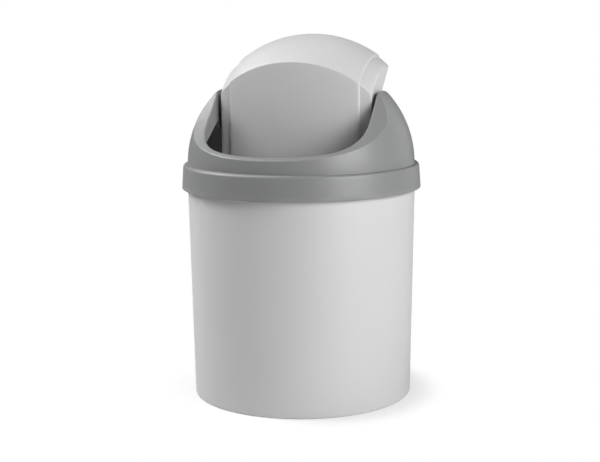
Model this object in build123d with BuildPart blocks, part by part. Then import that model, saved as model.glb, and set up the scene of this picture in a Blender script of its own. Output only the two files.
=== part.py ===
from build123d import *
from math import asin, cos, degrees, radians, sin, tan
import os

# Countertop waste bin with a swing flap: a tapered bucket, a domed hood whose collar fits over
# the bucket's rim, and a flap that turns in the hood on two moulded pins. Millimetres and
# degrees. The origin is the centre of the foot, +Z is up and -Y is the front. The flap is
# drawn standing open, as it rests.

# Walls
wall = 1.8
cheek_wall = 2.0

# Bucket
foot_radius = 68.9
neck_radius = 71.5  # outside of the bucket at its rim
bucket_height = 144.3
floor_top = 3.4
foot_recess = 1.2
foot_ring_width = 5.0
foot_round = 0.8
inner_round = 5.0
rim_round = 0.7

# Collar and the ledge that rests on the bucket's rim
collar_bottom_radius = 75.0
collar_top_radius = 73.9
collar_bottom = 131.2
collar_entry_radius = 72.8
collar_seat_radius = 71.75
ledge_height = 146.3
collar_round = 2.0
collar_lower_round = 0.5

# Dome
dome_radius = 71.1
dome_rise = 66.9
edge_round = 0.8

# Mouth: in plan two flat cheeks, a front arc and a corner radius between them. Its edge rises
# from the front towards the ears as a parabola, and a lip slopes down from it to the dome.
cheek_offset = 51.3
mouth_front_radius = 66.4
mouth_corner_radius = 36.75
lip_height = 156.5
lip_slope = 0.130
lip_curve = 0.00827
lip_fall = 0.45
lip_start = -1.0  # the lip's slope is drawn from inside the mouth's edge
lip_end = 14.0  # to outside the dome
lip_side_y = -10.0  # the lip's line passes points here beside the cheek, and at these turns
lip_corner_turns = (-15, -30, -45, -60)
lip_front_turns = (-75, -90)
cheek_front = -48.0
cheek_edge_back = -11.7  # the cheek's lower edge climbs to here
cheek_edge_height = 172.2
cheek_edge_rise = 31.0

# Slot behind the pivot, open down to just below the closed flap
slot_front = 8.0
slot_height = 175.7
slot_fall = 12.9
slot_round = 5.0
cheek_border = 4.0  # cheek left below the slot

# Flap, standing open
flap_half_width = 48.8
pad_half_width = 41.95
pad_step = 1.0
cover_radius = 72.1
cover_centre_y = 25.35
cover_centre_z = 153.7
panel_front = -20.15
panel_bow = 168.0
tongue_gap = 0.9  # between the tongue and the mouth's edge, closed
pad_border = 2.5
underside_y = 15.0
underside_z = 192.0
underside_rise = 39.1
gusset_top_y = 2.0
gusset_top_z = 165.0
gusset_bottom_y = -14.5
gusset_bottom_z = 105.0
flap_round = 1.0

# Pivot
pivot_height = 173.5
closed_angle = 52.0
pin_radius = 3.0
pin_clearance = 0.05
pin_reach = 54.0
pin_chamfer = 0.6
pin_hole_reach = 55.0
lug_radius = 8.0
cheek_pad_radius = 9.0

# Stop: a nub on each side of the flap runs in the gap of a raised ring on the cheek
nub_radius = 1.2
nub_orbit = 6.6
nub_reach = 50.9
nub_angle = 135.0
stop_play = 0.15
ring_inner_radius = 5.2
ring_outer_radius = 8.0
ring_reach = 49.7

# The cut edges that are rounded: how far below the mouth's edge they reach, how closely they
# follow the dome or the mouth, and the length from which an edge isn't a joint of two others
cut_drop = 4.0
dome_match = 0.002
mouth_match = 0.1
long_edge = 10.0

# Derived values
corner_x = cheek_offset - mouth_corner_radius
corner_y = -(((mouth_front_radius - mouth_corner_radius) ** 2 - corner_x**2) ** 0.5)
cheek_edge_fall = (cheek_edge_back - cheek_front) * tan(radians(cheek_edge_rise))
stop_margin = degrees(asin((nub_radius + stop_play) / nub_orbit))
closed_plan = Plane.XY.offset(pivot_height).rotated((closed_angle, 0, 0))
far = 100.0  # past the part in plan
tall = 240.0  # above the part
slot_drop = (far - slot_front) * tan(radians(slot_fall))


def lip_height_at(y):
    """Height of the mouth's edge at a distance along Y."""
    back = y + mouth_front_radius
    return lip_height + lip_slope * back + lip_curve * back**2


def lip_line(distance):
    """Right half of the line on the lip's slope that is a distance out from the mouth's edge."""
    points = []
    for y in (slot_front, lip_side_y, corner_y):
        points.append((cheek_offset + distance, y, lip_height_at(y) - lip_fall * distance))
    corner = (corner_x, corner_y, mouth_corner_radius, lip_corner_turns)
    front = (0, 0, mouth_front_radius, lip_front_turns)
    for centre_x, centre_y, radius, turns in (corner, front):
        for angle in turns:
            x = centre_x + (radius + distance) * cos(radians(angle))
            y = centre_y + (radius + distance) * sin(radians(angle))
            height = lip_height_at(centre_y + radius * sin(radians(angle)))
            points.append((x, y, height - lip_fall * distance))
    with BuildLine() as line:
        Spline(*points)
    return line.edge()


def mouth_plan(gap):
    """The mouth in plan, smaller all round by a gap, with its sides running straight back."""
    width = 2 * (cheek_offset - gap)
    with BuildSketch() as plan:
        Circle(mouth_front_radius - gap)
        Rectangle(width, 2 * far, mode=Mode.INTERSECT)
        fillet(plan.vertices().group_by(Axis.Y)[0], mouth_corner_radius - gap)
        Rectangle(width, far, align=(Align.CENTER, Align.MIN))
    return plan.sketch


def on_dome(edge):
    """Whether an edge was cut into the dome's outside."""
    middle = edge @ 0.5
    across = (middle.X**2 + middle.Y**2) / dome_radius**2
    up = (middle.Z - ledge_height) ** 2 / dome_rise**2
    return middle.Z > lip_height - cut_drop and abs(across + up - 1) < dome_match


def on_mouth(edge):
    """Whether an edge is part of the mouth's edge in front of the pivot."""
    middle = edge @ 0.5
    near = abs(middle.Z - lip_height_at(middle.Y)) < mouth_match
    return near and middle.Y < -slot_front and edge.length > long_edge


with BuildPart() as bucket:
    with BuildSketch(Plane.YZ) as profile:
        with BuildLine():
            foot_inside = foot_radius - foot_ring_width
            Polyline(
                (0, foot_recess),
                (foot_inside - foot_recess, foot_recess),
                (foot_inside, 0),
                (foot_radius, 0),
                (neck_radius, bucket_height),
                (neck_radius - wall, bucket_height),
                (foot_radius - wall, floor_top),
                (0, floor_top),
                close=True,
            )
        make_face()
        fillet(profile.vertices().sort_by_distance((foot_radius, 0))[0], foot_round)
        fillet(profile.vertices().sort_by_distance((foot_radius - wall, floor_top))[0], inner_round)
        fillet(profile.vertices().group_by(Axis.Y)[-1], rim_round)
    revolve(axis=Axis.Z)
bucket.part.label = "bucket"

# Everything above the lip's slope
with BuildPart() as above_lip:
    lip = Face.make_surface_from_curves(lip_line(lip_start), lip_line(lip_end))
    extrude(lip, tall / 2, (0, 0, 1))
    mirror(about=Plane.YZ)

# The hood's cavity, with the lip and the two cheeks left standing in it
with BuildPart() as cavity:
    with BuildSketch(Plane.YZ):
        with BuildLine():
            Polyline(
                (0, ledge_height + dome_rise - wall),
                (0, collar_bottom),
                (collar_entry_radius, collar_bottom),
                (collar_seat_radius, bucket_height),
                (dome_radius - wall, bucket_height),
                (dome_radius - wall, ledge_height),
            )
            EllipticalCenterArc((0, ledge_height), dome_radius - wall, dome_rise - wall, 0, arc_size=90)
        make_face()
    revolve(axis=Axis.Z)
    add(above_lip.part.moved(Location((0, 0, -wall))), mode=Mode.SUBTRACT)
    with BuildSketch(Plane.YZ.offset(cheek_offset), Plane.YZ.offset(-cheek_offset - cheek_wall)):
        Polygon(
            (cheek_front, cheek_edge_height - cheek_edge_fall),
            (cheek_edge_back, cheek_edge_height),
            (0, cheek_edge_height),
            (slot_front, slot_height - cheek_border),
            (far, slot_height - cheek_border - slot_drop),
            (far, tall),
            (cheek_front, tall),
            align=None,
        )
        with Locations((0, pivot_height)):
            Circle(cheek_pad_radius)
    extrude(amount=cheek_wall, mode=Mode.SUBTRACT)

# The slot behind the pivot
with BuildPart() as slot:
    with BuildSketch(Plane.YZ):
        Polygon(
            (slot_front, slot_height),
            (far, slot_height - slot_drop),
            (far, tall),
            (slot_front, tall),
            align=None,
        )
    extrude(amount=cheek_offset, both=True)
    slot_floor = slot.faces().sort_by(Axis.Z)[0]
    fillet(slot_floor.edges().group_by(Axis.X)[0] + slot_floor.edges().group_by(Axis.X)[-1], slot_round)

with BuildPart() as hood:
    # Collar, ledge and dome
    with BuildSketch(Plane.YZ) as profile:
        with BuildLine():
            Polyline(
                (0, ledge_height + dome_rise),
                (0, collar_bottom),
                (collar_bottom_radius, collar_bottom),
                (collar_top_radius, ledge_height),
                (dome_radius, ledge_height),
            )
            EllipticalCenterArc((0, ledge_height), dome_radius, dome_rise, 0, arc_size=90)
        make_face()
        collar_top = (collar_top_radius, ledge_height)
        fillet(profile.vertices().sort_by_distance(collar_top)[0], collar_round)
        collar_foot = (collar_bottom_radius, collar_bottom)
        fillet(profile.vertices().sort_by_distance(collar_foot)[0], collar_lower_round)
    revolve(axis=Axis.Z)
    add(cavity.part, mode=Mode.SUBTRACT)
    # Mouth and slot
    add(above_lip.part, mode=Mode.SUBTRACT)
    with BuildSketch(Plane.XY.offset(bucket_height)):
        add(mouth_plan(0))
        with Locations((0, slot_front)):
            Rectangle(2 * far, 2 * far, align=(Align.CENTER, Align.MAX), mode=Mode.INTERSECT)
    extrude(amount=tall, mode=Mode.SUBTRACT)
    add(slot.part, mode=Mode.SUBTRACT)
    # The dome's cut edges and the mouth's edge are rounded
    fillet(hood.edges().filter_by(on_dome) + hood.edges().filter_by(on_mouth), edge_round)
    # Stop rings and pin holes in the cheeks
    for side in (-1, 1):
        with BuildSketch(Plane.YZ.offset(side * ring_reach)):
            with Locations((0, pivot_height)):
                with Locations(Location((0, 0), nub_angle + stop_margin)):
                    Circle(ring_outer_radius, 360 - closed_angle - 2 * stop_margin, align=None)
                Circle(ring_inner_radius, mode=Mode.SUBTRACT)
        extrude(amount=side * (cheek_offset + cheek_wall / 2 - ring_reach))
    with BuildSketch(Plane.YZ):
        with Locations((0, pivot_height)):
            Circle(pin_radius + pin_clearance)
    extrude(amount=pin_hole_reach, both=True, mode=Mode.SUBTRACT)
hood.part.label = "hood"


def flap_form(level, half_width, gap):
    """The body under the flap's skin, lowered by a level, with a gap to the mouth when closed."""
    with BuildPart() as form:
        with Locations((0, cover_centre_y, cover_centre_z)):
            Sphere(cover_radius - level, rotation=(0, 90, 0))
        with BuildSketch(Plane.XY):
            with Locations((0, panel_front + panel_bow)):
                Circle(panel_bow - level)
            Rectangle(2 * half_width, 4 * far, mode=Mode.INTERSECT)
        extrude(amount=tall, mode=Mode.INTERSECT)
        fillet(form.edges(), flap_round)
        with BuildSketch(closed_plan):
            add(mouth_plan(gap))
        extrude(amount=far, both=True, mode=Mode.INTERSECT)
    return form.part


def underside(border):
    """What the flap keeps in side view, with a border taken off its lower and back edge."""
    rise = tan(radians(underside_rise))
    lift = underside_z - rise * underside_y + border / cos(radians(underside_rise))
    with BuildSketch() as side:
        Polygon(
            (far, lift + rise * far),
            (0, lift),
            (gusset_top_y, gusset_top_z),
            (gusset_bottom_y, gusset_bottom_z),
            (-far, gusset_bottom_z),
            (-far, tall),
            (far, tall),
            align=None,
        )
    return side.sketch


# The flap's outside: its margin, and the raised pad inside that
with BuildPart() as flap_pad:
    add(flap_form(0, pad_half_width, tongue_gap + pad_border))
    with BuildSketch(Plane.YZ):
        add(underside(pad_border))
    extrude(amount=pad_half_width, both=True, mode=Mode.INTERSECT)

# The hollow behind the skin, one wall in from both
with BuildPart() as flap_hollow:
    add(flap_form(pad_step + wall, flap_half_width - wall, tongue_gap + wall))
    add(flap_form(wall, pad_half_width - wall, tongue_gap + pad_border + wall))

with BuildPart() as swing_flap:
    add(flap_form(pad_step, flap_half_width, tongue_gap))
    with BuildSketch(Plane.YZ):
        add(underside(0))
        with Locations((0, pivot_height)):
            Circle(lug_radius)
    extrude(amount=flap_half_width, both=True, mode=Mode.INTERSECT)
    add(flap_pad.part)
    add(flap_hollow.part, mode=Mode.SUBTRACT)
    # Pins, moulded on the lugs
    for side in (-1, 1):
        with BuildSketch(Plane.YZ.offset(side * (flap_half_width - wall))):
            with Locations((0, pivot_height)):
                Circle(pin_radius)
        extrude(amount=side * (pin_reach - flap_half_width + wall))
        with BuildSketch(Plane.YZ.offset(side * flap_half_width)):
            with Locations(Location((0, pivot_height), nub_angle)):
                with Locations((nub_orbit, 0)):
                    Circle(nub_radius)
        extrude(amount=side * (nub_reach - flap_half_width))
    chamfer(swing_flap.edges().filter_by(GeomType.CIRCLE).group_by(Axis.X)[0], pin_chamfer)
    chamfer(swing_flap.edges().filter_by(GeomType.CIRCLE).group_by(Axis.X)[-1], pin_chamfer)
swing_flap.part.label = "swing_flap"

os.makedirs("parts", exist_ok=True)
export_step(bucket.part, "parts/bucket.step")
export_step(hood.part, "parts/hood.step")
export_step(swing_flap.part, "parts/swing_flap.step")
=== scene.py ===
"""Countertop waste bin with a swing flap: its three mouldings, their plastics, light and camera."""

import math

import bmesh
import bpy
from mathutils import Matrix, Vector


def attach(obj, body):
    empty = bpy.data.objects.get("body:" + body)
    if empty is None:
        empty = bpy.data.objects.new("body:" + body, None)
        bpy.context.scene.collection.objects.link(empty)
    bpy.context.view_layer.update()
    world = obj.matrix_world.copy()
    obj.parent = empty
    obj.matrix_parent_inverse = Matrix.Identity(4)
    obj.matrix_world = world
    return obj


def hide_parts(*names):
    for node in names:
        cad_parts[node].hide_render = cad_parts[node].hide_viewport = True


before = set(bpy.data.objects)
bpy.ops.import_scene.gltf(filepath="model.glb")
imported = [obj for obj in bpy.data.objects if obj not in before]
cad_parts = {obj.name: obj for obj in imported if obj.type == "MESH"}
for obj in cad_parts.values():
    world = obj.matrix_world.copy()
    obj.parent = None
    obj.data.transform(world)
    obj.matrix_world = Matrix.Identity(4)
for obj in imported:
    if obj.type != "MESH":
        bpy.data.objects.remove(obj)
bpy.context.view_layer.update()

MM = 0.001
WHITE = (1, 1, 1, 1)

# Camera, for a frame 600 pixels wide
IMAGE_WIDTH = 600
FOCAL_PIXELS = 1293.7
SENSOR_WIDTH = 36.0
CAMERA_AZIMUTH = 17.72
CAMERA_PITCH = 9.495
CAMERA_ROLL = -0.47
CAMERA_DISTANCE = 810.2 * MM
CAMERA_HEIGHT = 237.8 * MM
CAMERA_SIDE = 1.1 * MM

# Floor. The camera sees FLOOR_SHADOW, which takes the shadow, with FLOOR_GLOW added, and sees it
# fade to white between the two distances of FLOOR_FADE. The object sees FLOOR_GREY.
FLOOR_SIZE = 40.0
FLOOR_DROP = 0.05 * MM
FLOOR_GREY = (0.55, 0.55, 0.55, 1)
FLOOR_SHADOW = 0.42
FLOOR_GLOW = 0.50
FLOOR_FADE = (0.066, 0.093)

# Plastics
LIGHT_GREY = (0.600, 0.598, 0.597)
LIGHT_GREY_ROUGHNESS = 0.42
MID_GREY = (0.230, 0.234, 0.233)
MID_GREY_ROUGHNESS = 0.39
RUBBED_COLOUR = (0.80, 0.80, 0.79)
GRAIN_SIZE = 0.28 * MM
GRAIN_DEPTH = 0.15 * MM
PIT_SIZE = 0.9 * MM
DRAG_WIDTH = 1.4 * MM
DRAG_STRETCH = (1.0, 1.0, 0.03)  # the drag marks run up the piece, as it leaves the mould
FLOW_SIZE = 70 * MM
RUB_SIZE = 9 * MM
NOISE_DETAIL = 2
STREAK_DETAIL = 3
FLOW_SHADE, PIT_SHADE, DRAG_SHADE = 0.05, 0.03, 0.02
GRAIN_RELIEF, PIT_RELIEF, DRAG_RELIEF = 0.6, 0.4, 0.25
BUMP_STRENGTH = 0.12
FLOW_GLOSS, GRAIN_GLOSS, DRAG_GLOSS = 0.12, 0.08, 0.06

# Rubbed edges: where patches of wear start and are full, and what full wear does
RUB_PATCHES = (0.25, 0.75)
RUB_SHADE = 0.08
RUB_FLATTENS = 0.6
RUB_POLISHES = 0.10
WORN_RADIUS = (3.0 * MM, 0.8 * MM)  # rounding at which wear starts, and at which it is full
NARROWEST_FACE = 0.02 * MM  # narrower faces count as this wide where wear is worked out

# Softboxes: azimuth from the camera's, distance, height of the centre, width, height, radiance
SOFTBOXES = {
    "softbox_right": (47, 1.20, 0.52, 0.9, 0.8, 7.1),
    "softbox_left": (-103, 1.20, 1.05, 0.9, 0.8, 8.6),
    "softbox_above": (-90, 0.62, 1.30, 0.8, 0.8, 3.2),
    "softbox_back": (-145, 1.20, 1.05, 0.8, 0.8, 0.9),
    "softbox_rim": (128, 1.20, 0.45, 0.6, 0.9, 0.75),
}
LIGHT_TARGET = Vector((0, 0, 0.11))
AMBIENT = 0.01
GLOSS_AMBIENT = 0.20

# Working limits
SEAM = 0.002 * MM  # points this near to each other become one
HALVINGS = 50  # steps of the search for a root
SHARPEST_TURN = 0.02  # keeps an arc's weight above zero where a section turns back on itself
SMOOTH_ANGLE = 35
ROD_SIDES = 64
BEVEL_STEPS = 3

# The bucket, the hood and the flap are drawn in millimetres. +Z is up, -Y is the front.
WALL = 1.8

# Bucket
FOOT_RADIUS = 68.9
NECK_RADIUS = 71.5
BUCKET_HEIGHT = 144.3
FLOOR_TOP = 3.4
FOOT_RECESS = 1.2
FOOT_RING_WIDTH = 5.0
FOOT_ROUND = 0.8
INNER_ROUND = 5.0
RIM_ROUND = 0.7
FOOT_INNER_ROUND = 0.3
GATE_RADIUS = 3.0
GATE_HEIGHT = 0.5
GATE_ROUND = 0.2
BUCKET_SIDES = 256
FLOOR_MIDDLE = 0.5  # radius of the small discs that close the floor and the underside
PROFILE_STEPS = 6
LONG_RUN = 4.0  # a longer run gets points of its own, and one near each end to hold the rounding
RUN_POINTS = 5
RUN_GUARD = 0.5

# Collar
COLLAR_BOTTOM_RADIUS = 74.96
COLLAR_TOP_RADIUS = 73.9
COLLAR_BOTTOM = 131.2
COLLAR_ENTRY_RADIUS = 72.8
COLLAR_SEAT_RADIUS = 71.75
LEDGE = 146.3
COLLAR_ROUND = 2.0
COLLAR_LOWER_ROUND = 0.5
LEDGE_ROUND = 0.25

# Dome, outside and inside: radius and rise above the ledge
DOME = (71.1, 66.9)
DOME_INSIDE = (DOME[0] - WALL, DOME[1] - WALL)
EDGE_ROUND = 0.8
SLOT_EDGE_ROUND = 0.3

# Mouth
CHEEK_OFFSET = 51.3
CHEEK_WALL = 2.0
MOUTH_FRONT_RADIUS = 66.4
MOUTH_CORNER_RADIUS = 36.75
CORNER_X = CHEEK_OFFSET - MOUTH_CORNER_RADIUS
CORNER_Y = -math.sqrt((MOUTH_FRONT_RADIUS - MOUTH_CORNER_RADIUS) ** 2 - CORNER_X**2)
CORNER_ANGLE = math.atan2(CORNER_Y, CORNER_X)
LIP_HEIGHT = 156.5
LIP_SLOPE = 0.130
LIP_CURVE = 0.00827
LIP_FALL = 0.45

# Cheek plates, below the mouth's edge
CHEEK_EDGE_BACK = -11.7
CHEEK_EDGE_HEIGHT = 172.2
CHEEK_EDGE_RISE = math.tan(math.radians(31.0))
CHEEK_PAD_RADIUS = 9.0
CHEEK_BORDER = 4.0

# Slot behind the pivot
SLOT_FRONT = 8.0  # where it starts, in y
SLOT_HEIGHT = 175.7
SLOT_FALL = math.tan(math.radians(12.9))
SLOT_ROUND = 5.0

# Pivot
PIVOT_HEIGHT = 173.5
PIN_RADIUS = 3.0
PIN_CLEARANCE = 0.05

# Lines in plan on which the hood's section is drawn, counted on one side
FRONT_LINES = 14
CORNER_LINES = 28
CHEEK_LINES = 40
FAN_LINES = 28
BACK_LINES = 26
FAN_START = 30.0
FAN_TURN = 45.0

# How finely the hood's section is divided
COLLAR_LOWER_STEPS = 4
COLLAR_STEPS = 8
COLLAR_POINTS = 3
LEDGE_STEPS = 3
DOME_STEPS = 17
INSIDE_STEPS = 11
STOP_POINTS = (1, 4, 1, 4, 2)
ROUND_STEPS = 6
BAND_STEPS = 4

# Lip, mouth's edge and ridge
SLOPE_DROP = 0.5  # how far below a crease the dome's slope is taken
FOOT_RISE = 3.0  # and how far above the ledge
LEAST_DEPTH = 0.2  # of the mouth's edge, and of a cheek plate
LEAST_BAND = 0.05  # a narrower band is a ridge
FULL_BAND = 3 * EDGE_ROUND  # from this width on the band has its two roundings apart
ROUND_SHARES = {"mouth": (0.45, 0.45), "slot": (0.8, 0.15)}  # the most of a band that each may take
TINY = 0.01  # keeps a line that runs almost to the front from dividing by zero
RIDGE_SPREAD = (-6.0, 24.0)  # from here to here, in y, its points move on to the inner face
RIDGE_FADE = (20.0, 39.5)  # here the ridge's rounding shrinks to what fits beside the slot
RIDGE_END_REACH = 1.5
RIDGE_FACE = 3.0  # how far down the cheek's inner face the spread points reach
RIDGE_POINTS = 2 * ROUND_STEPS + BAND_STEPS + 1

# Where the slot's edge is sought from, in u, and how the dome's inside is divided below it
SLOT_SEARCH = -30.0
SLOT_LEAN = 0.6
SLOT_DROP = 6.0
SLOT_SHARES = (0.16, 0.33, 0.5, 0.66, 0.83, 1)

# Flap, standing open. Levels are measured in from the pad's surface.
FLAP_HALF_WIDTH = 48.8
PAD_HALF_WIDTH = 41.95
PAD_STEP = 1.0
COVER_RADIUS = 72.08
COVER_CENTRE = Vector((25.35, 153.7))
PANEL_BOW = 168.0
PANEL_FRONT = -20.15
PANEL_CENTRE = PANEL_FRONT + PANEL_BOW
TONGUE_GAP = 0.9
PAD_BORDER = 2.5
UNDERSIDE = Vector((15.0, 192.0))
UNDERSIDE_RISE = math.radians(39.1)
GUSSET = (Vector((2.0, 165.0)), Vector((-14.5, 105.0)))
FLAP_ROUND = 1.0
TRIM_ROUND = 0.45
LUG_RADIUS = 8.0
CLOSED_ANGLE = math.radians(52.0)
PIN_REACH = 54.0
PIN_BEVEL = 0.6
HOLE_REACH = (-1, 3)  # the pin holes are cut from here to here beside the cheek's inner face

# How finely the flap is divided: rows from the back edge to the tongue's end, columns to one side
BORDER_ROWS = (0, 0.6, 1.3, 2.0, PAD_BORDER)
COVER_ROWS = 32
CREASE_ROWS = 5
PANEL_ROWS = 42
END_SHARES = (0.7, 0.35, 0)
PAD_COLUMNS = 15
STEP_ANGLES = (0, 30, 60, 90)
PAD_SIDE_ANGLES = (0, 18, 36, 54, 72, 90)
MARGIN_SHARES = (0.12, 0.34, 0.56, 0.78, 1)
WALL_SHARES = (0, 0.04, 0.2, 0.4, 0.6, 0.8, 1)
TRIM_STEPS = 3
ROUND_POINTS = TRIM_STEPS - 1
CREASE_TURN = 0.01  # angle behind the crease at which the cover's slope is taken
UNDERSIDE_LENGTH = 80.0  # runs past the cover's back edge
TONGUE_RUN = 10.0  # runs past the tongue's end
ON_RIM = 0.999  # of a grid that reaches 1 either way

# Stops
NUB_RADIUS = 1.2
NUB_ORBIT = 6.6
NUB_REACH = 50.9
NUB_ANGLE = 135.0
RING_INNER_RADIUS = 5.2
RING_OUTER_RADIUS = 8.0
RING_REACH = 49.7
RING_STEPS = 60
RING_ROUND = 0.2
RING_EDGE_ANGLE = 40
STOP_PLAY = 0.15
STOP_MARGIN = math.degrees(math.asin((NUB_RADIUS + STOP_PLAY) / NUB_ORBIT))

bpy.context.tool_settings.mesh_select_mode = (False, True, False)  # edges are picked, not points


def deselect():
    """Nothing is selected, so that an operator acts on the next piece alone."""
    if bpy.context.object and bpy.context.object.mode != "OBJECT":
        bpy.ops.object.mode_set(mode="OBJECT")
    bpy.ops.object.select_all(action="DESELECT")


def make_active(piece):
    """Only this piece is selected, and it is the active one."""
    deselect()
    piece.select_set(True)
    bpy.context.view_layer.objects.active = piece


def close_seams(piece):
    """Points that lie on each other become one, and all faces turn outwards."""
    make_active(piece)
    bpy.ops.object.mode_set(mode="EDIT")
    bpy.ops.mesh.select_all(action="SELECT")
    bpy.ops.mesh.remove_doubles(threshold=SEAM)
    bpy.ops.mesh.normals_make_consistent(inside=False)
    bpy.ops.object.mode_set(mode="OBJECT")


def smooth(piece):
    """Smooth shading, but for sharp edges."""
    make_active(piece)
    bpy.ops.object.shade_smooth_by_angle(angle=math.radians(SMOOTH_ANGLE))


def pick_edges(piece, wanted):
    """In edit mode, only those edges are selected whose two end points pass a test."""
    make_active(piece)
    bpy.ops.object.mode_set(mode="EDIT")
    bpy.ops.mesh.select_all(action="DESELECT")
    bpy.ops.object.mode_set(mode="OBJECT")
    for edge in piece.data.edges:
        edge.select = wanted([piece.data.vertices[index] for index in edge.vertices])
    bpy.ops.object.mode_set(mode="EDIT")


def rod(name, radius, root_x, end_x, y, z, bevel=0):
    """A round peg along X. A bevel takes in its long edges too, whose narrow facets fold over."""
    deselect()
    bpy.ops.mesh.primitive_cylinder_add(
        vertices=ROD_SIDES,
        radius=radius * MM,
        depth=abs(end_x - root_x) * MM,
        location=Vector(((root_x + end_x) / 2, y, z)) * MM,
        rotation=(0, math.pi / 2, 0),
    )
    peg = bpy.context.object
    peg.name = name
    bpy.ops.object.transform_apply(location=True, rotation=True)
    if bevel:
        bpy.ops.object.mode_set(mode="EDIT")
        bpy.ops.mesh.select_all(action="SELECT")
        bpy.ops.mesh.bevel(offset=bevel * MM, segments=BEVEL_STEPS, affect="EDGES")
        bpy.ops.object.mode_set(mode="OBJECT")
    return peg


def add_to(piece, *parts):
    """Joins parts to a piece."""
    make_active(piece)
    for part in parts:
        part.select_set(True)
    bpy.ops.object.join()


def pulled_rings(name, count, rings):
    """A closed tube of rings: a circle pulled up ring by ring, bridged, and set on the shape."""
    deselect()
    bpy.ops.mesh.primitive_circle_add(vertices=count, radius=1, fill_type="NOTHING")
    piece = bpy.context.object
    piece.name = name
    bpy.ops.object.mode_set(mode="EDIT")
    for _ in rings[1:]:
        bpy.ops.mesh.extrude_region_move(TRANSFORM_OT_translate={"value": (0, 0, 1)})
    end_rings = ({0}, {len(rings) - 1})
    pick_edges(piece, lambda ends: {point.index // count for point in ends} in end_rings)
    bpy.ops.mesh.bridge_edge_loops()
    bpy.ops.object.mode_set(mode="OBJECT")
    place(piece, [point for ring in rings for point in ring])
    return piece


def place(piece, points):
    """Sets a piece's points, in order, at their places in millimetres."""
    flat = [value * MM for point in points for value in point]
    piece.data.vertices.foreach_set("co", flat)
    piece.data.update()


def between(first, last, count):
    """Points that divide a straight run evenly, without its two ends."""
    return [first.lerp(last, (step + 1) / (count + 1)) for step in range(count)]


def mark_wear(piece):
    """Gives each point how much it is rubbed: outward roundings wear, the sharper the more."""
    shape = bmesh.new()
    shape.from_mesh(piece.data)
    wear = []
    for point in shape.verts:
        bend = 0
        for edge in point.link_edges:
            if len(edge.link_faces) == 2:
                across = min(face.calc_area() for face in edge.link_faces) / edge.calc_length()
                bend = max(bend, edge.calc_face_angle_signed() / max(across, NARROWEST_FACE))
        starts, full = WORN_RADIUS
        wear.append(smoothstep((bend * starts - 1) / (starts / full - 1)))
    shape.free()
    layer = piece.data.attributes.new("edge_wear", "FLOAT", "POINT")
    layer.data.foreach_set("value", wear)


def root(value, low, high):
    """Where a function that is positive at low and negative at high is zero."""
    for _ in range(HALVINGS):
        middle = (low + high) / 2
        if value(middle) > 0:
            low = middle
        else:
            high = middle
    return (low + high) / 2


def smoothstep(value):
    """0 up to 0, 1 from 1 on, and smooth between them."""
    value = min(max(value, 0), 1)
    return value * value * (3 - 2 * value)


def arc_point(before, corner, after, along):
    """A point of the arc that is tangent at both ends to the lines that meet in a corner."""
    turn = (corner - before).normalized().dot((after - corner).normalized())
    weight = math.sqrt(max(1 + turn, SHARPEST_TURN) / 2)
    shares = ((1 - along) ** 2, 2 * along * (1 - along) * weight, along**2)
    return (before * shares[0] + corner * shares[1] + after * shares[2]) / sum(shares)


def rounded(before, corner, after, steps):
    """An arc from one point to another, tangent at both to the lines that meet in a corner."""
    return [arc_point(before, corner, after, step / steps) for step in range(steps + 1)]


def tangent_length(before, corner, after, radius):
    """How far from a corner its rounding starts."""
    turn = (corner - before).angle(after - corner)
    return radius * math.tan(turn / 2)


def rounded_corner(before, corner, after, radius, steps):
    """The points of a corner's rounding, which leaves at least half of either side."""
    reach = tangent_length(before, corner, after, radius)
    start = corner.lerp(before, min(reach / (before - corner).length, 0.5))
    end = corner.lerp(after, min(reach / (after - corner).length, 0.5))
    return rounded(start, corner, end, steps)


# Hood


class Line:
    """A line in plan, from an inner point outwards. The hood's section on it is drawn in u and z,
    where u is how far out a point is from the line's start."""

    def __init__(self, x, y, angle, part):
        self.start = Vector((x, y))
        self.out = Vector((math.cos(angle), math.sin(angle)))
        self.part = part

    def at(self, u):
        return self.start + self.out * u

    def reach(self, radius):
        """Where the line leaves a circle round the axis."""
        along = self.start.dot(self.out)
        return -along + math.sqrt(max(along**2 - self.start.length_squared + radius**2, 0))

    def dome_height(self, u, dome):
        """Height of a dome above the line, or the ledge outside it."""
        radius, rise = dome
        inside = 1 - self.at(u).length_squared / radius**2
        return LEDGE + rise * math.sqrt(max(inside, 0))

    def on_dome(self, height, dome):
        """The point of a dome over the line at a height."""
        radius, rise = dome
        sine = min((height - LEDGE) / rise, 1)
        return Vector((self.reach(radius * math.sqrt(1 - sine**2)), height))


def section_lines():
    """The lines of one side, from the front's middle to the back's."""
    lines = []
    for step in range(FRONT_LINES):
        angle = -math.pi / 2 + (CORNER_ANGLE + math.pi / 2) * step / FRONT_LINES
        x, y = MOUTH_FRONT_RADIUS * math.cos(angle), MOUTH_FRONT_RADIUS * math.sin(angle)
        lines.append(Line(x, y, angle, "mouth"))
    for step in range(CORNER_LINES):
        angle = CORNER_ANGLE * (1 - step / CORNER_LINES)
        x = CORNER_X + MOUTH_CORNER_RADIUS * math.cos(angle)
        y = CORNER_Y + MOUTH_CORNER_RADIUS * math.sin(angle)
        lines.append(Line(x, y, angle, "mouth"))
    for step in range(CHEEK_LINES):
        y = CORNER_Y + (FAN_START - CORNER_Y) * step / CHEEK_LINES
        lines.append(Line(CHEEK_OFFSET, y, 0, "mouth"))
    for step in range(FAN_LINES):
        share = step / FAN_LINES
        y = FAN_START + (CHEEK_OFFSET - FAN_START) * share
        lines.append(Line(CHEEK_OFFSET, y, math.radians(FAN_TURN * share), "slot"))
    for step in range(BACK_LINES + 1):
        angle = math.radians(FAN_TURN + (90 - FAN_TURN) * step / BACK_LINES)
        start = CHEEK_OFFSET * math.sqrt(2)
        lines.append(Line(start * math.cos(angle), start * math.sin(angle), angle, "slot"))
    return lines


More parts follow.
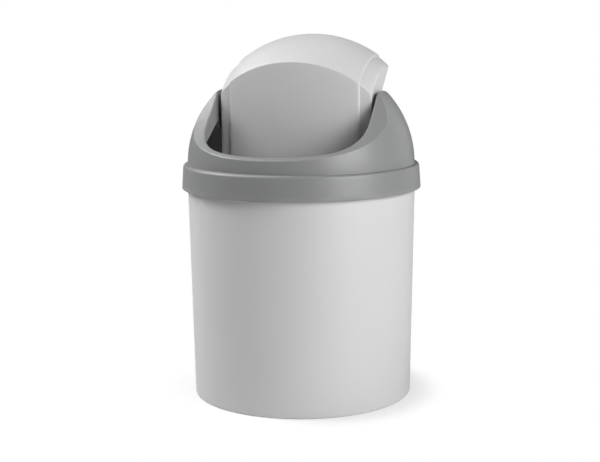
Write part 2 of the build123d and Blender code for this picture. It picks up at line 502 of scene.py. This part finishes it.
def lip_height_at(y):
    """Height of the mouth's edge."""
    back = y + MOUTH_FRONT_RADIUS
    return LIP_HEIGHT + LIP_SLOPE * back + LIP_CURVE * back**2


def slot_floor(x, y):
    """Height of the slot's floor, which turns up to the cheeks in a rounding."""
    beside = min(max(abs(x) - CHEEK_OFFSET + SLOT_ROUND, 0), SLOT_ROUND)
    rise = SLOT_ROUND - math.sqrt(SLOT_ROUND**2 - beside**2)
    return SLOT_HEIGHT - SLOT_FALL * (y - SLOT_FRONT) + rise * math.hypot(1, SLOT_FALL)


def cheek_edge(y):
    """Height of the lower edge of a cheek plate, with the pad round the pivot."""
    if y < CHEEK_EDGE_BACK:
        edge = CHEEK_EDGE_HEIGHT - CHEEK_EDGE_RISE * (CHEEK_EDGE_BACK - y)
    elif y < 0:
        edge = CHEEK_EDGE_HEIGHT
    elif y < SLOT_FRONT:
        edge = CHEEK_EDGE_HEIGHT + (SLOT_HEIGHT - CHEEK_BORDER - CHEEK_EDGE_HEIGHT) * y / SLOT_FRONT
    else:
        edge = SLOT_HEIGHT - CHEEK_BORDER - SLOT_FALL * (y - SLOT_FRONT)
    if abs(y) < CHEEK_PAD_RADIUS:
        edge = min(edge, PIVOT_HEIGHT - math.sqrt(CHEEK_PAD_RADIUS**2 - y**2))
    return edge


def mouth_section(line):
    """The lip or ridge on a line, the mouth's edge, then the cheek plate and the ceiling behind."""
    edge_height = min(lip_height_at(line.start.y), line.dome_height(0, DOME))

    def lip(u):
        return edge_height - LIP_FALL * u

    def ceiling(u):
        return min(lip(u) - WALL, line.dome_height(u, DOME_INSIDE))

    crease_u = root(lambda u: line.dome_height(u, DOME) - lip(u), 0, line.reach(DOME[0]))
    if line.dome_height(0, DOME) <= edge_height:
        crease_u = 0
    crease = Vector((crease_u, lip(crease_u)))
    edge = Vector((0, edge_height))
    top = round_top(line, crease, edge, Vector((0, edge_height - WALL)), EDGE_ROUND, lip)
    inner_edge = Vector((0, min(edge_height - WALL, top[-1].y - LEAST_DEPTH)))

    inside_reach = line.reach(DOME_INSIDE[0])
    corner_u = root(lambda u: line.dome_height(u, DOME_INSIDE) - lip(u) + WALL, 0, inside_reach)
    corner_u = max(corner_u, 0)
    if line.dome_height(0, DOME_INSIDE) <= edge_height - WALL:
        corner_u = 0
    plate_u = (CHEEK_OFFSET - line.start.x) / max(line.out.x, TINY)
    plate_end = plate_u + CHEEK_WALL / max(line.out.x, TINY)
    plate_y = line.at(plate_u).y
    last = Vector((corner_u, ceiling(corner_u)))
    inside_dome = line.at(plate_u).length < DOME_INSIDE[0]
    low = cheek_edge(plate_y)
    if inside_dome and ceiling(plate_u) > low + LEAST_DEPTH:
        behind = Vector((plate_end, ceiling(plate_end)))
        stops = [
            inner_edge,
            Vector((plate_u, ceiling(plate_u))) if plate_u > TINY else inner_edge,
            Vector((plate_u, low)),
            Vector((plate_end, low)),
            behind,
            last if corner_u > plate_end else behind,
        ]
    else:
        stops = [inner_edge.lerp(last, share) for share in (0, 0.2, 0.4, 0.6, 0.8, 1)]
    return top, stops


def slot_section(line):
    """The slot's edge on a line, then the dome's inside."""

    def floor(u):
        return slot_floor(*line.at(u))

    if line.dome_height(0, DOME) > floor(0):
        return mouth_section(line)
    outer_u = root(lambda u: line.dome_height(u, DOME) - floor(u), SLOT_SEARCH, 0)
    inner_u = root(lambda u: line.dome_height(u, DOME_INSIDE) - floor(u), SLOT_SEARCH, 0)
    outer = Vector((outer_u, floor(outer_u)))
    inner = Vector((inner_u, floor(inner_u)))
    below = Vector((inner_u + SLOT_LEAN, line.dome_height(inner_u + SLOT_LEAN, DOME_INSIDE)))
    top = round_top(line, outer, inner, below, SLOT_EDGE_ROUND, floor)
    start = top[-1]
    drop = min(SLOT_DROP, (start.y - LEDGE) / 2)
    stops = [line.on_dome(start.y - drop * share, DOME_INSIDE) for share in SLOT_SHARES]
    return top, stops


def faded(y, limits):
    """0 in front of the first of two places in y, 1 behind the second, and smooth between them."""
    first, last = limits
    return smoothstep((y - first) / (last - first))


def ridge(line, crease, spread):
    """The rounded top of a cheek and the start of its inner face. With more spread, fewer of its
    points are in the rounding and more on the face."""
    slope = line.on_dome(crease.y - SLOPE_DROP, DOME)
    below = crease + Vector((0, -1))
    reach = tangent_length(slope, crease, below, EDGE_ROUND)
    reach += (RIDGE_END_REACH - reach) * faded(line.start.y, RIDGE_FADE)
    start = line.on_dome((crease + (slope - crease).normalized() * reach).y, DOME)
    end = crease + Vector((0, -reach))
    points = []
    for step in range(RIDGE_POINTS + 1):
        along = step / RIDGE_POINTS * (1 - spread)
        if step <= ROUND_STEPS:
            along += spread * step / ROUND_STEPS
        else:
            along += spread * (1 + (step - ROUND_STEPS) / (RIDGE_POINTS - ROUND_STEPS))
        if along <= 1:
            points.append(arc_point(start, crease, end, along))
        else:
            points.append(end + Vector((0, -RIDGE_FACE * (along - 1))))
    return points


def round_top(line, crease, edge, below, edge_radius, band):
    """The rounded crease, the band to the mouth's edge, and that edge, rounded. The two roundings
    become one where the band gets too narrow for both."""
    width = (crease - edge).length
    if width < LEAST_BAND:
        return ridge(line, crease, faded(line.start.y, RIDGE_SPREAD))
    slope = line.on_dome(crease.y - SLOPE_DROP, DOME)
    crease_share, edge_share = ROUND_SHARES[line.part]
    crease_reach = min(tangent_length(slope, crease, edge, EDGE_ROUND), crease_share * width)
    edge_reach = min(tangent_length(crease, edge, below, edge_radius), edge_share * width)
    start = crease + (slope - crease).normalized() * crease_reach
    crease_end_u = crease.x + (edge.x - crease.x) * crease_reach / width
    edge_start_u = edge.x + (crease.x - edge.x) * edge_reach / width
    crease_end = Vector((crease_end_u, band(crease_end_u)))
    edge_start = Vector((edge_start_u, band(edge_start_u)))
    end = edge + (below - edge).normalized() * edge_reach
    points = rounded(start, crease, crease_end, ROUND_STEPS)
    for step in range(BAND_STEPS):
        u = crease_end_u + (edge_start_u - crease_end_u) * (step + 1) / (BAND_STEPS + 1)
        points.append(Vector((u, band(u))))
    points += rounded(edge_start, edge, end, ROUND_STEPS)
    if line.part == "slot":
        return points
    both = smoothstep(width / FULL_BAND)
    return [one.lerp(two, both) for one, two in zip(ridge(line, crease, 0), points)]


def hood_section(line):
    """The hood's closed section on a line, from the collar's bottom up outside and down inside."""

    def ring(radius, height):
        return Vector((line.reach(radius), height))

    lower = ring(COLLAR_BOTTOM_RADIUS, COLLAR_BOTTOM)
    upper = ring(COLLAR_TOP_RADIUS, LEDGE)
    entry = ring(COLLAR_ENTRY_RADIUS, COLLAR_BOTTOM)
    foot = ring(DOME[0], LEDGE)
    above_foot = line.on_dome(LEDGE + FOOT_RISE, DOME)
    top, stops = (mouth_section if line.part == "mouth" else slot_section)(line)

    points = rounded_corner(entry, lower, upper, COLLAR_LOWER_ROUND, COLLAR_LOWER_STEPS)
    collar_top = rounded_corner(lower, upper, foot, COLLAR_ROUND, COLLAR_STEPS)
    points += between(points[-1], collar_top[0], COLLAR_POINTS)
    points += collar_top
    points += between(collar_top[-1], foot, 1)
    points += rounded_corner(upper, foot, above_foot, LEDGE_ROUND, LEDGE_STEPS)
    start_angle = math.asin((points[-1].y - LEDGE) / DOME[1])
    end_angle = math.asin(min((top[0].y - LEDGE) / DOME[1], 1))
    for step in range(1, DOME_STEPS):
        angle = start_angle + (end_angle - start_angle) * step / DOME_STEPS
        points.append(line.on_dome(LEDGE + DOME[1] * math.sin(angle), DOME))
    points += top
    points += between(top[-1], stops[0], 2) + [stops[0]]
    for first, last, count in zip(stops, stops[1:], STOP_POINTS):
        points += between(first, last, count) + [last]
    high_angle = math.asin(max(min((stops[-1].y - LEDGE) / DOME_INSIDE[1], 1), 0))
    for step in range(1, INSIDE_STEPS):
        angle = high_angle * (1 - step / INSIDE_STEPS)
        points.append(line.on_dome(LEDGE + DOME_INSIDE[1] * math.sin(angle), DOME_INSIDE))
    seat = ring(COLLAR_SEAT_RADIUS, BUCKET_HEIGHT)
    points += [ring(DOME_INSIDE[0], LEDGE), ring(DOME_INSIDE[0], BUCKET_HEIGHT), seat]
    points += between(seat, entry, COLLAR_POINTS) + [entry]
    return points


def stop_ring(side):
    """The raised ring on a cheek, a small rectangle spun round the pivot. Its gap takes the nub."""
    deselect()
    bpy.ops.mesh.primitive_plane_add(size=1)
    ring = bpy.context.object
    ring.name = "stop_ring"
    start = math.radians(NUB_ANGLE + STOP_MARGIN)
    turn = 2 * math.pi - CLOSED_ANGLE - 2 * math.radians(STOP_MARGIN)
    out = Vector((0, math.cos(start), math.sin(start)))
    centre = Vector((0, 0, PIVOT_HEIGHT))
    corners = []
    for x in (RING_REACH, CHEEK_OFFSET + CHEEK_WALL / 2):
        for radius in (RING_INNER_RADIUS, RING_OUTER_RADIUS):
            corners.append(centre + Vector((side * x, 0, 0)) + out * radius)
    place(ring, corners)
    bpy.ops.object.mode_set(mode="EDIT")
    bpy.ops.mesh.select_all(action="SELECT")
    bpy.ops.mesh.spin(
        steps=RING_STEPS, angle=turn, center=centre * MM, axis=(1, 0, 0), use_auto_merge=False
    )
    bpy.ops.object.mode_set(mode="OBJECT")
    close_seams(ring)
    soften = ring.modifiers.new("edges", "BEVEL")
    soften.width = RING_ROUND * MM
    soften.segments = 2
    soften.angle_limit = math.radians(RING_EDGE_ANGLE)
    bpy.ops.object.modifier_apply(modifier=soften.name)
    return ring


def build_hood():
    """Rings through the sections, all round, with the pin holes cut and the stop rings added."""
    lines = section_lines()
    right = [[(*line.at(point.x), point.y) for point in hood_section(line)] for line in lines]
    left = [[(-x, y, z) for x, y, z in section] for section in right[-2:0:-1]]
    sections = right + left
    rings = [list(ring) for ring in zip(*sections)]
    hood = pulled_rings("hood_shell", len(sections), rings)
    close_seams(hood)
    for side in (-1, 1):
        start_x, end_x = (side * (CHEEK_OFFSET + reach) for reach in HOLE_REACH)
        cutter = rod("pin_hole", PIN_RADIUS + PIN_CLEARANCE, start_x, end_x, 0, PIVOT_HEIGHT)
        make_active(hood)
        hole = hood.modifiers.new("pin_hole", "BOOLEAN")
        hole.operation = "DIFFERENCE"
        hole.object = cutter
        bpy.ops.object.modifier_apply(modifier=hole.name)
        bpy.data.objects.remove(cutter)
        add_to(hood, stop_ring(side))
    smooth(hood)
    return hood


# Bucket


def bucket_profile():
    """Half the bucket's section, from the middle of the underside to the middle of the floor."""
    inside = FOOT_RADIUS - FOOT_RING_WIDTH
    first = (FLOOR_MIDDLE, FOOT_RECESS - GATE_HEIGHT, 0)
    corners = [
        (GATE_RADIUS, FOOT_RECESS - GATE_HEIGHT, GATE_ROUND),
        (GATE_RADIUS + GATE_ROUND, FOOT_RECESS, 0),
        (inside - FOOT_RECESS, FOOT_RECESS, FOOT_INNER_ROUND),
        (inside, 0, FOOT_INNER_ROUND),
        (FOOT_RADIUS, 0, FOOT_ROUND),
        (NECK_RADIUS, BUCKET_HEIGHT, RIM_ROUND),
        (NECK_RADIUS - WALL, BUCKET_HEIGHT, RIM_ROUND),
        (FOOT_RADIUS - WALL, FLOOR_TOP, INNER_ROUND),
        (FLOOR_MIDDLE, FLOOR_TOP, 0),
    ]
    points = [Vector(first[:2])]
    for before, (x, z, radius), after in zip([first] + corners, corners, corners[1:]):
        corner = Vector((x, z))
        before, after = Vector(before[:2]), Vector(after[:2])
        if radius:
            arc = rounded_corner(before, corner, after, radius, PROFILE_STEPS)
        else:
            arc = [corner]
        run = (arc[0] - points[-1]).length
        if run > LONG_RUN:
            points.append(points[-1].lerp(arc[0], RUN_GUARD / run))
            points += between(points[-1], arc[0], RUN_POINTS)
            points.append(arc[0].lerp(points[-1], RUN_GUARD / (arc[0] - points[-1]).length))
        points += arc
    return points + [Vector((FLOOR_MIDDLE, FLOOR_TOP))]


def build_bucket():
    """A disc pulled out and up ring by ring, over the rim and down to the floor's middle."""
    profile = bucket_profile()
    deselect()
    bpy.ops.mesh.primitive_circle_add(
        vertices=BUCKET_SIDES,
        radius=profile[0].x * MM,
        fill_type="NGON",
        location=(0, 0, profile[0].y * MM),
    )
    bucket = bpy.context.object
    bucket.name = "bucket_body"
    bpy.ops.object.transform_apply(location=True)
    bpy.ops.object.mode_set(mode="EDIT")
    bpy.ops.mesh.select_all(action="SELECT")
    for before, here in zip(profile, profile[1:]):
        rise = (here.y - before.y) * MM
        bpy.ops.mesh.extrude_region_move(TRANSFORM_OT_translate={"value": (0, 0, rise)})
        share = here.x / before.x
        bpy.ops.transform.resize(value=(share, share, 1))
    bpy.ops.object.mode_set(mode="OBJECT")
    close_seams(bucket)
    smooth(bucket)
    return bucket


# Flap


def untipped(y, z):
    """Where a point of the open flap is in the closed flap's own plan, v to the back and w down."""
    v = y * math.cos(CLOSED_ANGLE) + (z - PIVOT_HEIGHT) * math.sin(CLOSED_ANGLE)
    w = y * math.sin(CLOSED_ANGLE) - (z - PIVOT_HEIGHT) * math.cos(CLOSED_ANGLE)
    return Vector((v, w))


def tongue_end(x, gap):
    """Where the closed flap's tongue ends, in v, with a gap to the mouth."""
    front, corner = MOUTH_FRONT_RADIUS - gap, MOUTH_CORNER_RADIUS - gap
    beside = abs(x) - CORNER_X
    if beside < corner * math.cos(CORNER_ANGLE):
        return -math.sqrt(front**2 - x**2)
    return CORNER_Y - math.sqrt(max(corner**2 - beside**2, 0))


def skirt_depth(v):
    """How far down the closed flap's side walls and end wall reach, in w."""
    along = Vector((math.cos(UNDERSIDE_RISE), math.sin(UNDERSIDE_RISE)))
    back = untipped(*(UNDERSIDE + along * UNDERSIDE_LENGTH))
    front = untipped(0, UNDERSIDE.y - math.tan(UNDERSIDE_RISE) * UNDERSIDE.x)
    line = [back, front] + [untipped(*corner) for corner in GUSSET]
    line.append(line[-1] + Vector((-TONGUE_RUN, -TONGUE_RUN * math.tan(CLOSED_ANGLE))))
    for first, last in zip(line, line[1:]):
        if v >= last.x:
            break
    depth = first.y + (last.y - first.y) * (v - first.x) / (last.x - first.x)
    if abs(v) < LUG_RADIUS:
        depth = max(depth, math.sqrt(LUG_RADIUS**2 - v**2))
    return depth


class Skin:
    """The flap's outer surface, the pad with the margin round it, or the inner, one wall in."""

    def __init__(self, wall):
        self.wall = wall
        self.half_width = FLAP_HALF_WIDTH - wall
        self.pad_half = PAD_HALF_WIDTH - wall
        self.gap = TONGUE_GAP + wall
        self.pad_gap = TONGUE_GAP + PAD_BORDER + wall

    def panel(self, x, level):
        """The front panel's place in y."""
        return PANEL_CENTRE - math.sqrt((PANEL_BOW - level) ** 2 - x**2)

    def cover_radius(self, x, level):
        """The cover's radius where it is cut at x."""
        return math.sqrt((COVER_RADIUS - level) ** 2 - x**2)

    def over(self, x, level, angle):
        """The cover's point at an angle back from its top."""
        out = Vector((math.sin(angle), math.cos(angle)))
        return COVER_CENTRE + out * self.cover_radius(x, level)

    def back_angle(self, x, level, border):
        """Angle of the row that runs a border's width from the cover's back edge."""
        offset = UNDERSIDE - COVER_CENTRE
        reach = offset.y * math.cos(UNDERSIDE_RISE) - offset.x * math.sin(UNDERSIDE_RISE) + border
        return math.acos(reach / self.cover_radius(x, level)) - UNDERSIDE_RISE

    def crease_angle(self, x, level):
        """Angle at which the cover meets the front panel."""
        offset = COVER_CENTRE.x - self.panel(x, level)
        return -math.asin(offset / self.cover_radius(x, level))

    def end(self, x, gap):
        """Where a row round the tongue is, in v. Beside the pad it follows the flap's end."""
        if abs(x) <= self.pad_half:
            return tongue_end(x, gap)
        beside_pad = tongue_end(self.pad_half, gap)
        return tongue_end(x, self.gap) + beside_pad - tongue_end(self.pad_half, self.gap)

    def point(self, x, level, row):
        """y and z of the surface at x, on a row."""
        kind, share = row
        if kind == "border":
            return self.over(x, level, self.back_angle(x, level, share))
        crease_angle = self.crease_angle(x, level)
        crease = self.over(x, level, crease_angle)
        before = self.over(x, level, crease_angle + CREASE_TURN)
        after = crease + Vector((0, -1))
        reach = tangent_length(before, crease, after, FLAP_ROUND)
        start_angle = crease_angle + reach / (COVER_RADIUS - level)
        if kind == "cover":
            first = self.back_angle(x, level, PAD_BORDER + TRIM_ROUND)
            return self.over(x, level, first + (start_angle - first) * share)
        start = self.over(x, level, start_angle)
        end = crease + Vector((0, -reach))
        if kind == "crease":
            return arc_point(start, crease, end, share)
        panel = self.panel(x, level)
        if kind == "panel":
            first, last = untipped(*end).x, self.end(x, self.pad_gap + TRIM_ROUND)
            v = first + (last - first) * share
        else:
            v = self.end(x, share)
        height = (v - panel * math.cos(CLOSED_ANGLE)) / math.sin(CLOSED_ANGLE)
        return Vector((panel, PIVOT_HEIGHT + height))

    def spot(self, x, level, row):
        """x, y and z of the surface at x, on a row."""
        return Vector((x, *self.point(x, level, row)))

    def rows(self):
        """Each row's place, and how far down from the pad it is, 0 to 1, from the back edge on."""
        step = [(math.sin(math.radians(a)), 1 - math.cos(math.radians(a))) for a in STEP_ANGLES]
        back = 0 if self.wall else 1
        rows = [(("border", border), back) for border in BORDER_ROWS]
        for rise, fall in step[1:]:
            rows.append((("border", PAD_BORDER + TRIM_ROUND * fall), back * (1 - rise)))
        rows += [(("cover", row / COVER_ROWS), 0) for row in range(1, COVER_ROWS)]
        rows += [(("crease", row / CREASE_ROWS), 0) for row in range(CREASE_ROWS + 1)]
        rows += [(("panel", row / PANEL_ROWS), 0) for row in range(1, PANEL_ROWS)]
        rows += [(("end", self.pad_gap + TRIM_ROUND * (1 - rise)), fall) for rise, fall in step]
        span = self.pad_gap - self.gap
        for share in END_SHARES:
            rows.append((("end", self.gap + span * share + TRIM_ROUND * (1 - share)), 1))
        return rows

    def columns(self):
        """Each column's x, and how far down from the pad it is, 0 to 1, from the middle on."""
        flat = self.pad_half - FLAP_ROUND
        columns = [(flat * step / PAD_COLUMNS, 0) for step in range(PAD_COLUMNS)]
        for angle in PAD_SIDE_ANGLES:
            turn = math.radians(angle)
            columns.append((self.pad_half - FLAP_ROUND * (1 - math.sin(turn)), 1 - math.cos(turn)))
        span = self.half_width - 2 * TRIM_ROUND - self.pad_half
        columns += [(self.pad_half + span * share, 1) for share in MARGIN_SHARES]
        return columns

    def level(self, row_fall, column_fall):
        """How deep under the pad's surface a point is."""
        return self.wall + PAD_STEP * max(row_fall, column_fall)

    def grid(self):
        """The surface's points row by row, and the wall below each point of its rim. Round the rows
        and columns are a few more, for the roundings towards the side walls and the end wall."""
        right = self.columns()
        columns = [(-x, fall) for x, fall in right[:0:-1]] + right
        rows = self.rows()
        end_row = rows[-1][0]
        points = []
        for row, row_fall in rows:
            line = [self.spot(x, self.level(row_fall, fall), row) for x, fall in columns]
            points.append([None] * ROUND_POINTS + line + [None] * ROUND_POINTS)
        count = len(points[0])
        last = len(rows) - 1
        points += [[None] * count for _ in range(ROUND_POINTS)]
        rows += [(("end", self.gap), 1)] * ROUND_POINTS
        down = Vector((0, math.sin(CLOSED_ANGLE), -math.cos(CLOSED_ANGLE)))
        walls = []
        for i, (row, row_fall) in enumerate(rows):
            for j in range(count):
                late = i - last
                beside = max(ROUND_POINTS - j, j - count + 1 + ROUND_POINTS, 0)
                if late <= 0 and not beside:
                    continue
                inner_x, fall = columns[min(max(j - ROUND_POINTS, 0), len(columns) - 1)]
                outer_x = math.copysign(self.half_width, j - count / 2) if beside else inner_x
                level = self.level(row_fall, 1 if beside else fall)
                start = self.spot(inner_x, level, row if late <= 0 else end_row)
                corner = self.spot(outer_x, level, row)
                v, w = untipped(corner.y, corner.z)
                room = max(skirt_depth(v) - w, 0)
                end = corner + down * min(2 * TRIM_ROUND if beside else TRIM_ROUND, room / 2)
                points[i][j] = arc_point(start, corner, end, max(beside, late, 0) / TRIM_STEPS)
                if i == len(rows) - 1 or j in (0, count - 1):
                    foot = corner + down * room
                    walls.append([end.lerp(foot, share) for share in WALL_SHARES])
        return points, walls


def build_flap():
    """A grid set on the outer surface, its rim pulled down into walls, and then thickened."""
    outer, outer_walls = Skin(0).grid()
    inner, inner_walls = Skin(WALL).grid()
    across, along = len(outer[0]), len(outer)
    deselect()
    bpy.ops.mesh.primitive_grid_add(x_subdivisions=across - 1, y_subdivisions=along - 1, size=2)
    flap = bpy.context.object
    flap.name = "flap_shell"
    pick_edges(
        flap,
        lambda ends: all(abs(point.co.x) > ON_RIM for point in ends)
        or all(point.co.y > ON_RIM for point in ends),
    )
    for _ in outer_walls[0]:
        bpy.ops.mesh.extrude_region_move(TRANSFORM_OT_translate={"value": (0, 0, -1)})
    bpy.ops.object.mode_set(mode="OBJECT")
    thicken = flap.modifiers.new("wall", "SOLIDIFY")
    thicken.thickness = WALL * MM
    bpy.ops.object.modifier_apply(modifier=thicken.name)
    points = []
    for skin, walls in ((outer, outer_walls), (inner, inner_walls)):
        points += [point for row in skin for point in row]
        points += [point for ring in zip(*walls) for point in ring]
    place(flap, points)
    close_seams(flap)
    stop = math.radians(NUB_ANGLE)
    stop_y, stop_z = NUB_ORBIT * math.cos(stop), PIVOT_HEIGHT + NUB_ORBIT * math.sin(stop)
    root_x = FLAP_HALF_WIDTH - WALL / 2
    for side in (-1, 1):
        pin = rod("pin", PIN_RADIUS, side * root_x, side * PIN_REACH, 0, PIVOT_HEIGHT, PIN_BEVEL)
        nub = rod("nub", NUB_RADIUS, side * root_x, side * NUB_REACH, stop_y, stop_z, TRIM_ROUND)
        add_to(flap, pin, nub)
    smooth(flap)
    return flap


# Camera, lamps, finishes and floor


def add_camera():
    """The camera looks from the front and a little from the right, tilted down."""
    bpy.ops.object.camera_add()
    camera = bpy.context.object
    camera.name = "camera"
    camera.data.sensor_width = SENSOR_WIDTH
    camera.data.lens = FOCAL_PIXELS / IMAGE_WIDTH * SENSOR_WIDTH
    camera.data.clip_start = 10 * MM
    azimuth = math.radians(CAMERA_AZIMUTH)
    side = Vector((math.cos(azimuth), math.sin(azimuth), 0)) * CAMERA_SIDE
    camera_place = toward(0, CAMERA_DISTANCE, CAMERA_HEIGHT) - side
    tilt = Matrix.Rotation(math.radians(90 - CAMERA_PITCH), 4, "X")
    roll = Matrix.Rotation(math.radians(CAMERA_ROLL), 4, "Z")
    turn = Matrix.Rotation(azimuth, 4, "Z")
    camera.matrix_world = Matrix.Translation(camera_place) @ turn @ tilt @ roll
    bpy.context.scene.camera = camera


def toward(azimuth, distance, height):
    """A point at an azimuth from the camera's own, in plan, at a distance and a height."""
    turn = math.radians(CAMERA_AZIMUTH + azimuth)
    return Vector((math.sin(turn) * distance, -math.cos(turn) * distance, height))


def add_softbox(name, location, target, width, height, radiance):
    """A rectangular light that faces a target."""
    bpy.ops.object.light_add(type="AREA", location=location)
    light = bpy.context.object
    light.name = name
    light.rotation_euler = (target - location).to_track_quat("-Z", "Y").to_euler()
    light.data.shape = "RECTANGLE"
    light.data.size = width
    light.data.size_y = height
    light.data.energy = radiance * math.pi * width * height


class Value:
    """An output socket of a finish. Python's operators on it add Math nodes."""

    def __init__(self, finish, socket):
        self.finish = finish
        self.socket = socket

    def math(self, operation, first, second):
        return self.finish.node("ShaderNodeMath", {"operation": operation}, {0: first, 1: second})

    def __add__(self, other):
        return self.math("ADD", self, other)

    def __radd__(self, other):
        return self.math("ADD", other, self)

    def __sub__(self, other):
        return self.math("SUBTRACT", self, other)

    def __rsub__(self, other):
        return self.math("SUBTRACT", other, self)

    def __mul__(self, other):
        return self.math("MULTIPLY", self, other)

    def __rmul__(self, other):
        return self.math("MULTIPLY", other, self)


class Finish:
    """A material or a world, whose nodes are added one by one."""

    def __init__(self, owner):
        self.owner = owner
        owner.use_nodes = True
        self.tree = owner.node_tree
        self.tree.nodes.clear()

    def node(self, kind, settings=None, values=None, output=0):
        """Adds a node, sets its settings, then gives its sockets their values or links."""
        node = self.tree.nodes.new(kind)
        for key, setting in (settings or {}).items():
            setattr(node, key, setting)
        for key, value in (values or {}).items():
            if isinstance(value, Value):
                self.tree.links.new(value.socket, node.inputs[key])
            else:
                node.inputs[key].default_value = value
        return Value(self, node.outputs[output]) if node.outputs else None

    def noise(self, place, size, detail=NOISE_DETAIL):
        """Cloudy noise, 0 to 1, with features of a size."""
        values = {"Vector": place, "Scale": 1 / size, "Detail": detail}
        return self.node("ShaderNodeTexNoise", None, values)

    def spread(self, value, low, high):
        """0 up to low, 1 from high on, and smooth between them."""
        limits = {"Value": value, "From Min": low, "From Max": high}
        return self.node("ShaderNodeMapRange", {"interpolation_type": "SMOOTHSTEP"}, limits)

    def mix(self, factor, first, second, blend_type="MIX"):
        """A colour mixed from two, each a socket or red, green and blue."""
        pair = [value if isinstance(value, Value) else (*value, 1) for value in (first, second)]
        settings = {"data_type": "RGBA", "blend_type": blend_type}
        return self.node("ShaderNodeMix", settings, {0: factor, 6: pair[0], 7: pair[1]}, output=2)

    def out(self, kind, surface):
        """Ends the nodes in a surface, and gives back the material or world."""
        self.node(kind, None, {"Surface": surface})
        return self.owner


def moulded_plastic(name, colour, roughness):
    """Moulded polypropylene: spark-eroded grain, drag marks from the mould, and pale edges."""
    finish = Finish(bpy.data.materials.new(name))
    place = finish.node("ShaderNodeTexCoord", output="Object")
    along_pull = finish.node("ShaderNodeMapping", None, {"Vector": place, "Scale": DRAG_STRETCH})
    grain = finish.noise(place, GRAIN_SIZE)
    pits = finish.noise(place, PIT_SIZE)
    drag = finish.noise(along_pull, DRAG_WIDTH, STREAK_DETAIL)
    flow = finish.noise(place, FLOW_SIZE)
    patches = finish.noise(place, RUB_SIZE, STREAK_DETAIL)
    edges = finish.node("ShaderNodeAttribute", {"attribute_name": "edge_wear"}, output="Fac")
    rubbed = edges * finish.spread(patches, *RUB_PATCHES)
    shade = (
        1 + FLOW_SHADE * (flow - 0.5) + PIT_SHADE * (pits - 0.5) + DRAG_SHADE * (drag - 0.5)
    )
    grey = finish.node("ShaderNodeCombineColor", None, {0: shade, 1: shade, 2: shade})
    body_colour = finish.mix(1, colour, grey, blend_type="MULTIPLY")
    surface_colour = finish.mix(RUB_SHADE * rubbed, body_colour, RUBBED_COLOUR)
    relief = GRAIN_RELIEF * grain + PIT_RELIEF * pits + DRAG_RELIEF * drag
    height = relief * (1 - RUB_FLATTENS * rubbed)
    bump_values = {"Strength": BUMP_STRENGTH, "Distance": GRAIN_DEPTH, "Height": height}
    bump = finish.node("ShaderNodeBump", None, bump_values)
    gloss_change = FLOW_GLOSS * (flow - 0.5) + GRAIN_GLOSS * (grain - 0.5)
    gloss_change = gloss_change + DRAG_GLOSS * (drag - 0.5) - RUB_POLISHES * rubbed
    surface_values = {
        "Base Color": surface_colour,
        "Roughness": roughness + gloss_change,
        "Normal": bump,
    }
    surface = finish.node("ShaderNodeBsdfPrincipled", None, surface_values)
    return finish.out("ShaderNodeOutputMaterial", surface)


def white_world(ambient, gloss_ambient):
    """White behind the object. On it an even, weaker light, stronger where it shows as gloss."""
    studio = Finish(bpy.data.worlds.new("studio"))
    seen = studio.node("ShaderNodeLightPath", output="Is Camera Ray")
    glossy = studio.node("ShaderNodeLightPath", output="Is Glossy Ray")
    unseen = ambient + (gloss_ambient - ambient) * glossy
    strength = unseen + (1 - unseen) * seen
    background = studio.node("ShaderNodeBackground", None, {"Color": WHITE, "Strength": strength})
    bpy.context.scene.world = studio.out("ShaderNodeOutputWorld", background)


def floor_finish():
    """White to the camera but for the shadow at the foot, and a plain pale grey to the object."""
    finish = Finish(bpy.data.materials.new("floor_white"))
    seen = finish.node("ShaderNodeLightPath", output="Is Camera Ray")
    place = finish.node("ShaderNodeTexCoord", output="Object")
    distance = finish.node("ShaderNodeVectorMath", {"operation": "LENGTH"}, {0: place}, output=1)
    white = finish.node("ShaderNodeEmission", None, {"Color": WHITE, "Strength": 1})
    shaded = finish.node("ShaderNodeBsdfDiffuse", None, {"Color": (FLOOR_SHADOW,) * 3 + (1,)})
    glow = finish.node("ShaderNodeEmission", None, {"Color": WHITE, "Strength": FLOOR_GLOW})
    near = finish.node("ShaderNodeAddShader", None, {0: shaded, 1: glow})
    fade = finish.spread(distance, *FLOOR_FADE)
    shown = finish.node("ShaderNodeMixShader", None, {0: fade, 1: near, 2: white})
    plain = finish.node("ShaderNodeBsdfDiffuse", None, {"Color": FLOOR_GREY})
    surface = finish.node("ShaderNodeMixShader", None, {0: seen, 1: plain, 2: shown})
    return finish.out("ShaderNodeOutputMaterial", surface)


def add_floor():
    """A plain floor, wide enough to reach the horizon in every view."""
    bpy.ops.mesh.primitive_plane_add(size=FLOOR_SIZE, location=(0, 0, -FLOOR_DROP))
    floor = bpy.context.object
    floor.name = "floor"
    floor.data.materials.append(floor_finish())


add_camera()
bpy.context.scene.view_settings.view_transform = "Standard"
white_world(AMBIENT, GLOSS_AMBIENT)
for name, (azimuth, distance, height, width, tall, radiance) in SOFTBOXES.items():
    add_softbox(name, toward(azimuth, distance, height), LIGHT_TARGET, width, tall, radiance)
add_floor()

light_grey = moulded_plastic("light_grey_plastic", LIGHT_GREY, LIGHT_GREY_ROUGHNESS)
mid_grey = moulded_plastic("mid_grey_plastic", MID_GREY, MID_GREY_ROUGHNESS)

made = (
    (build_bucket(), "bucket", "bucket", light_grey, "light_grey_plastic"),
    (build_hood(), "hood", "hood", mid_grey, "mid_grey_plastic"),
    (build_flap(), "swing_flap", "flap", light_grey, "light_grey_plastic"),
)
for piece, node, body, finish, slot in made:
    mark_wear(piece)
    piece.data.materials.clear()
    piece.data.materials.append(finish)
    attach(piece, body)
    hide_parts(node)
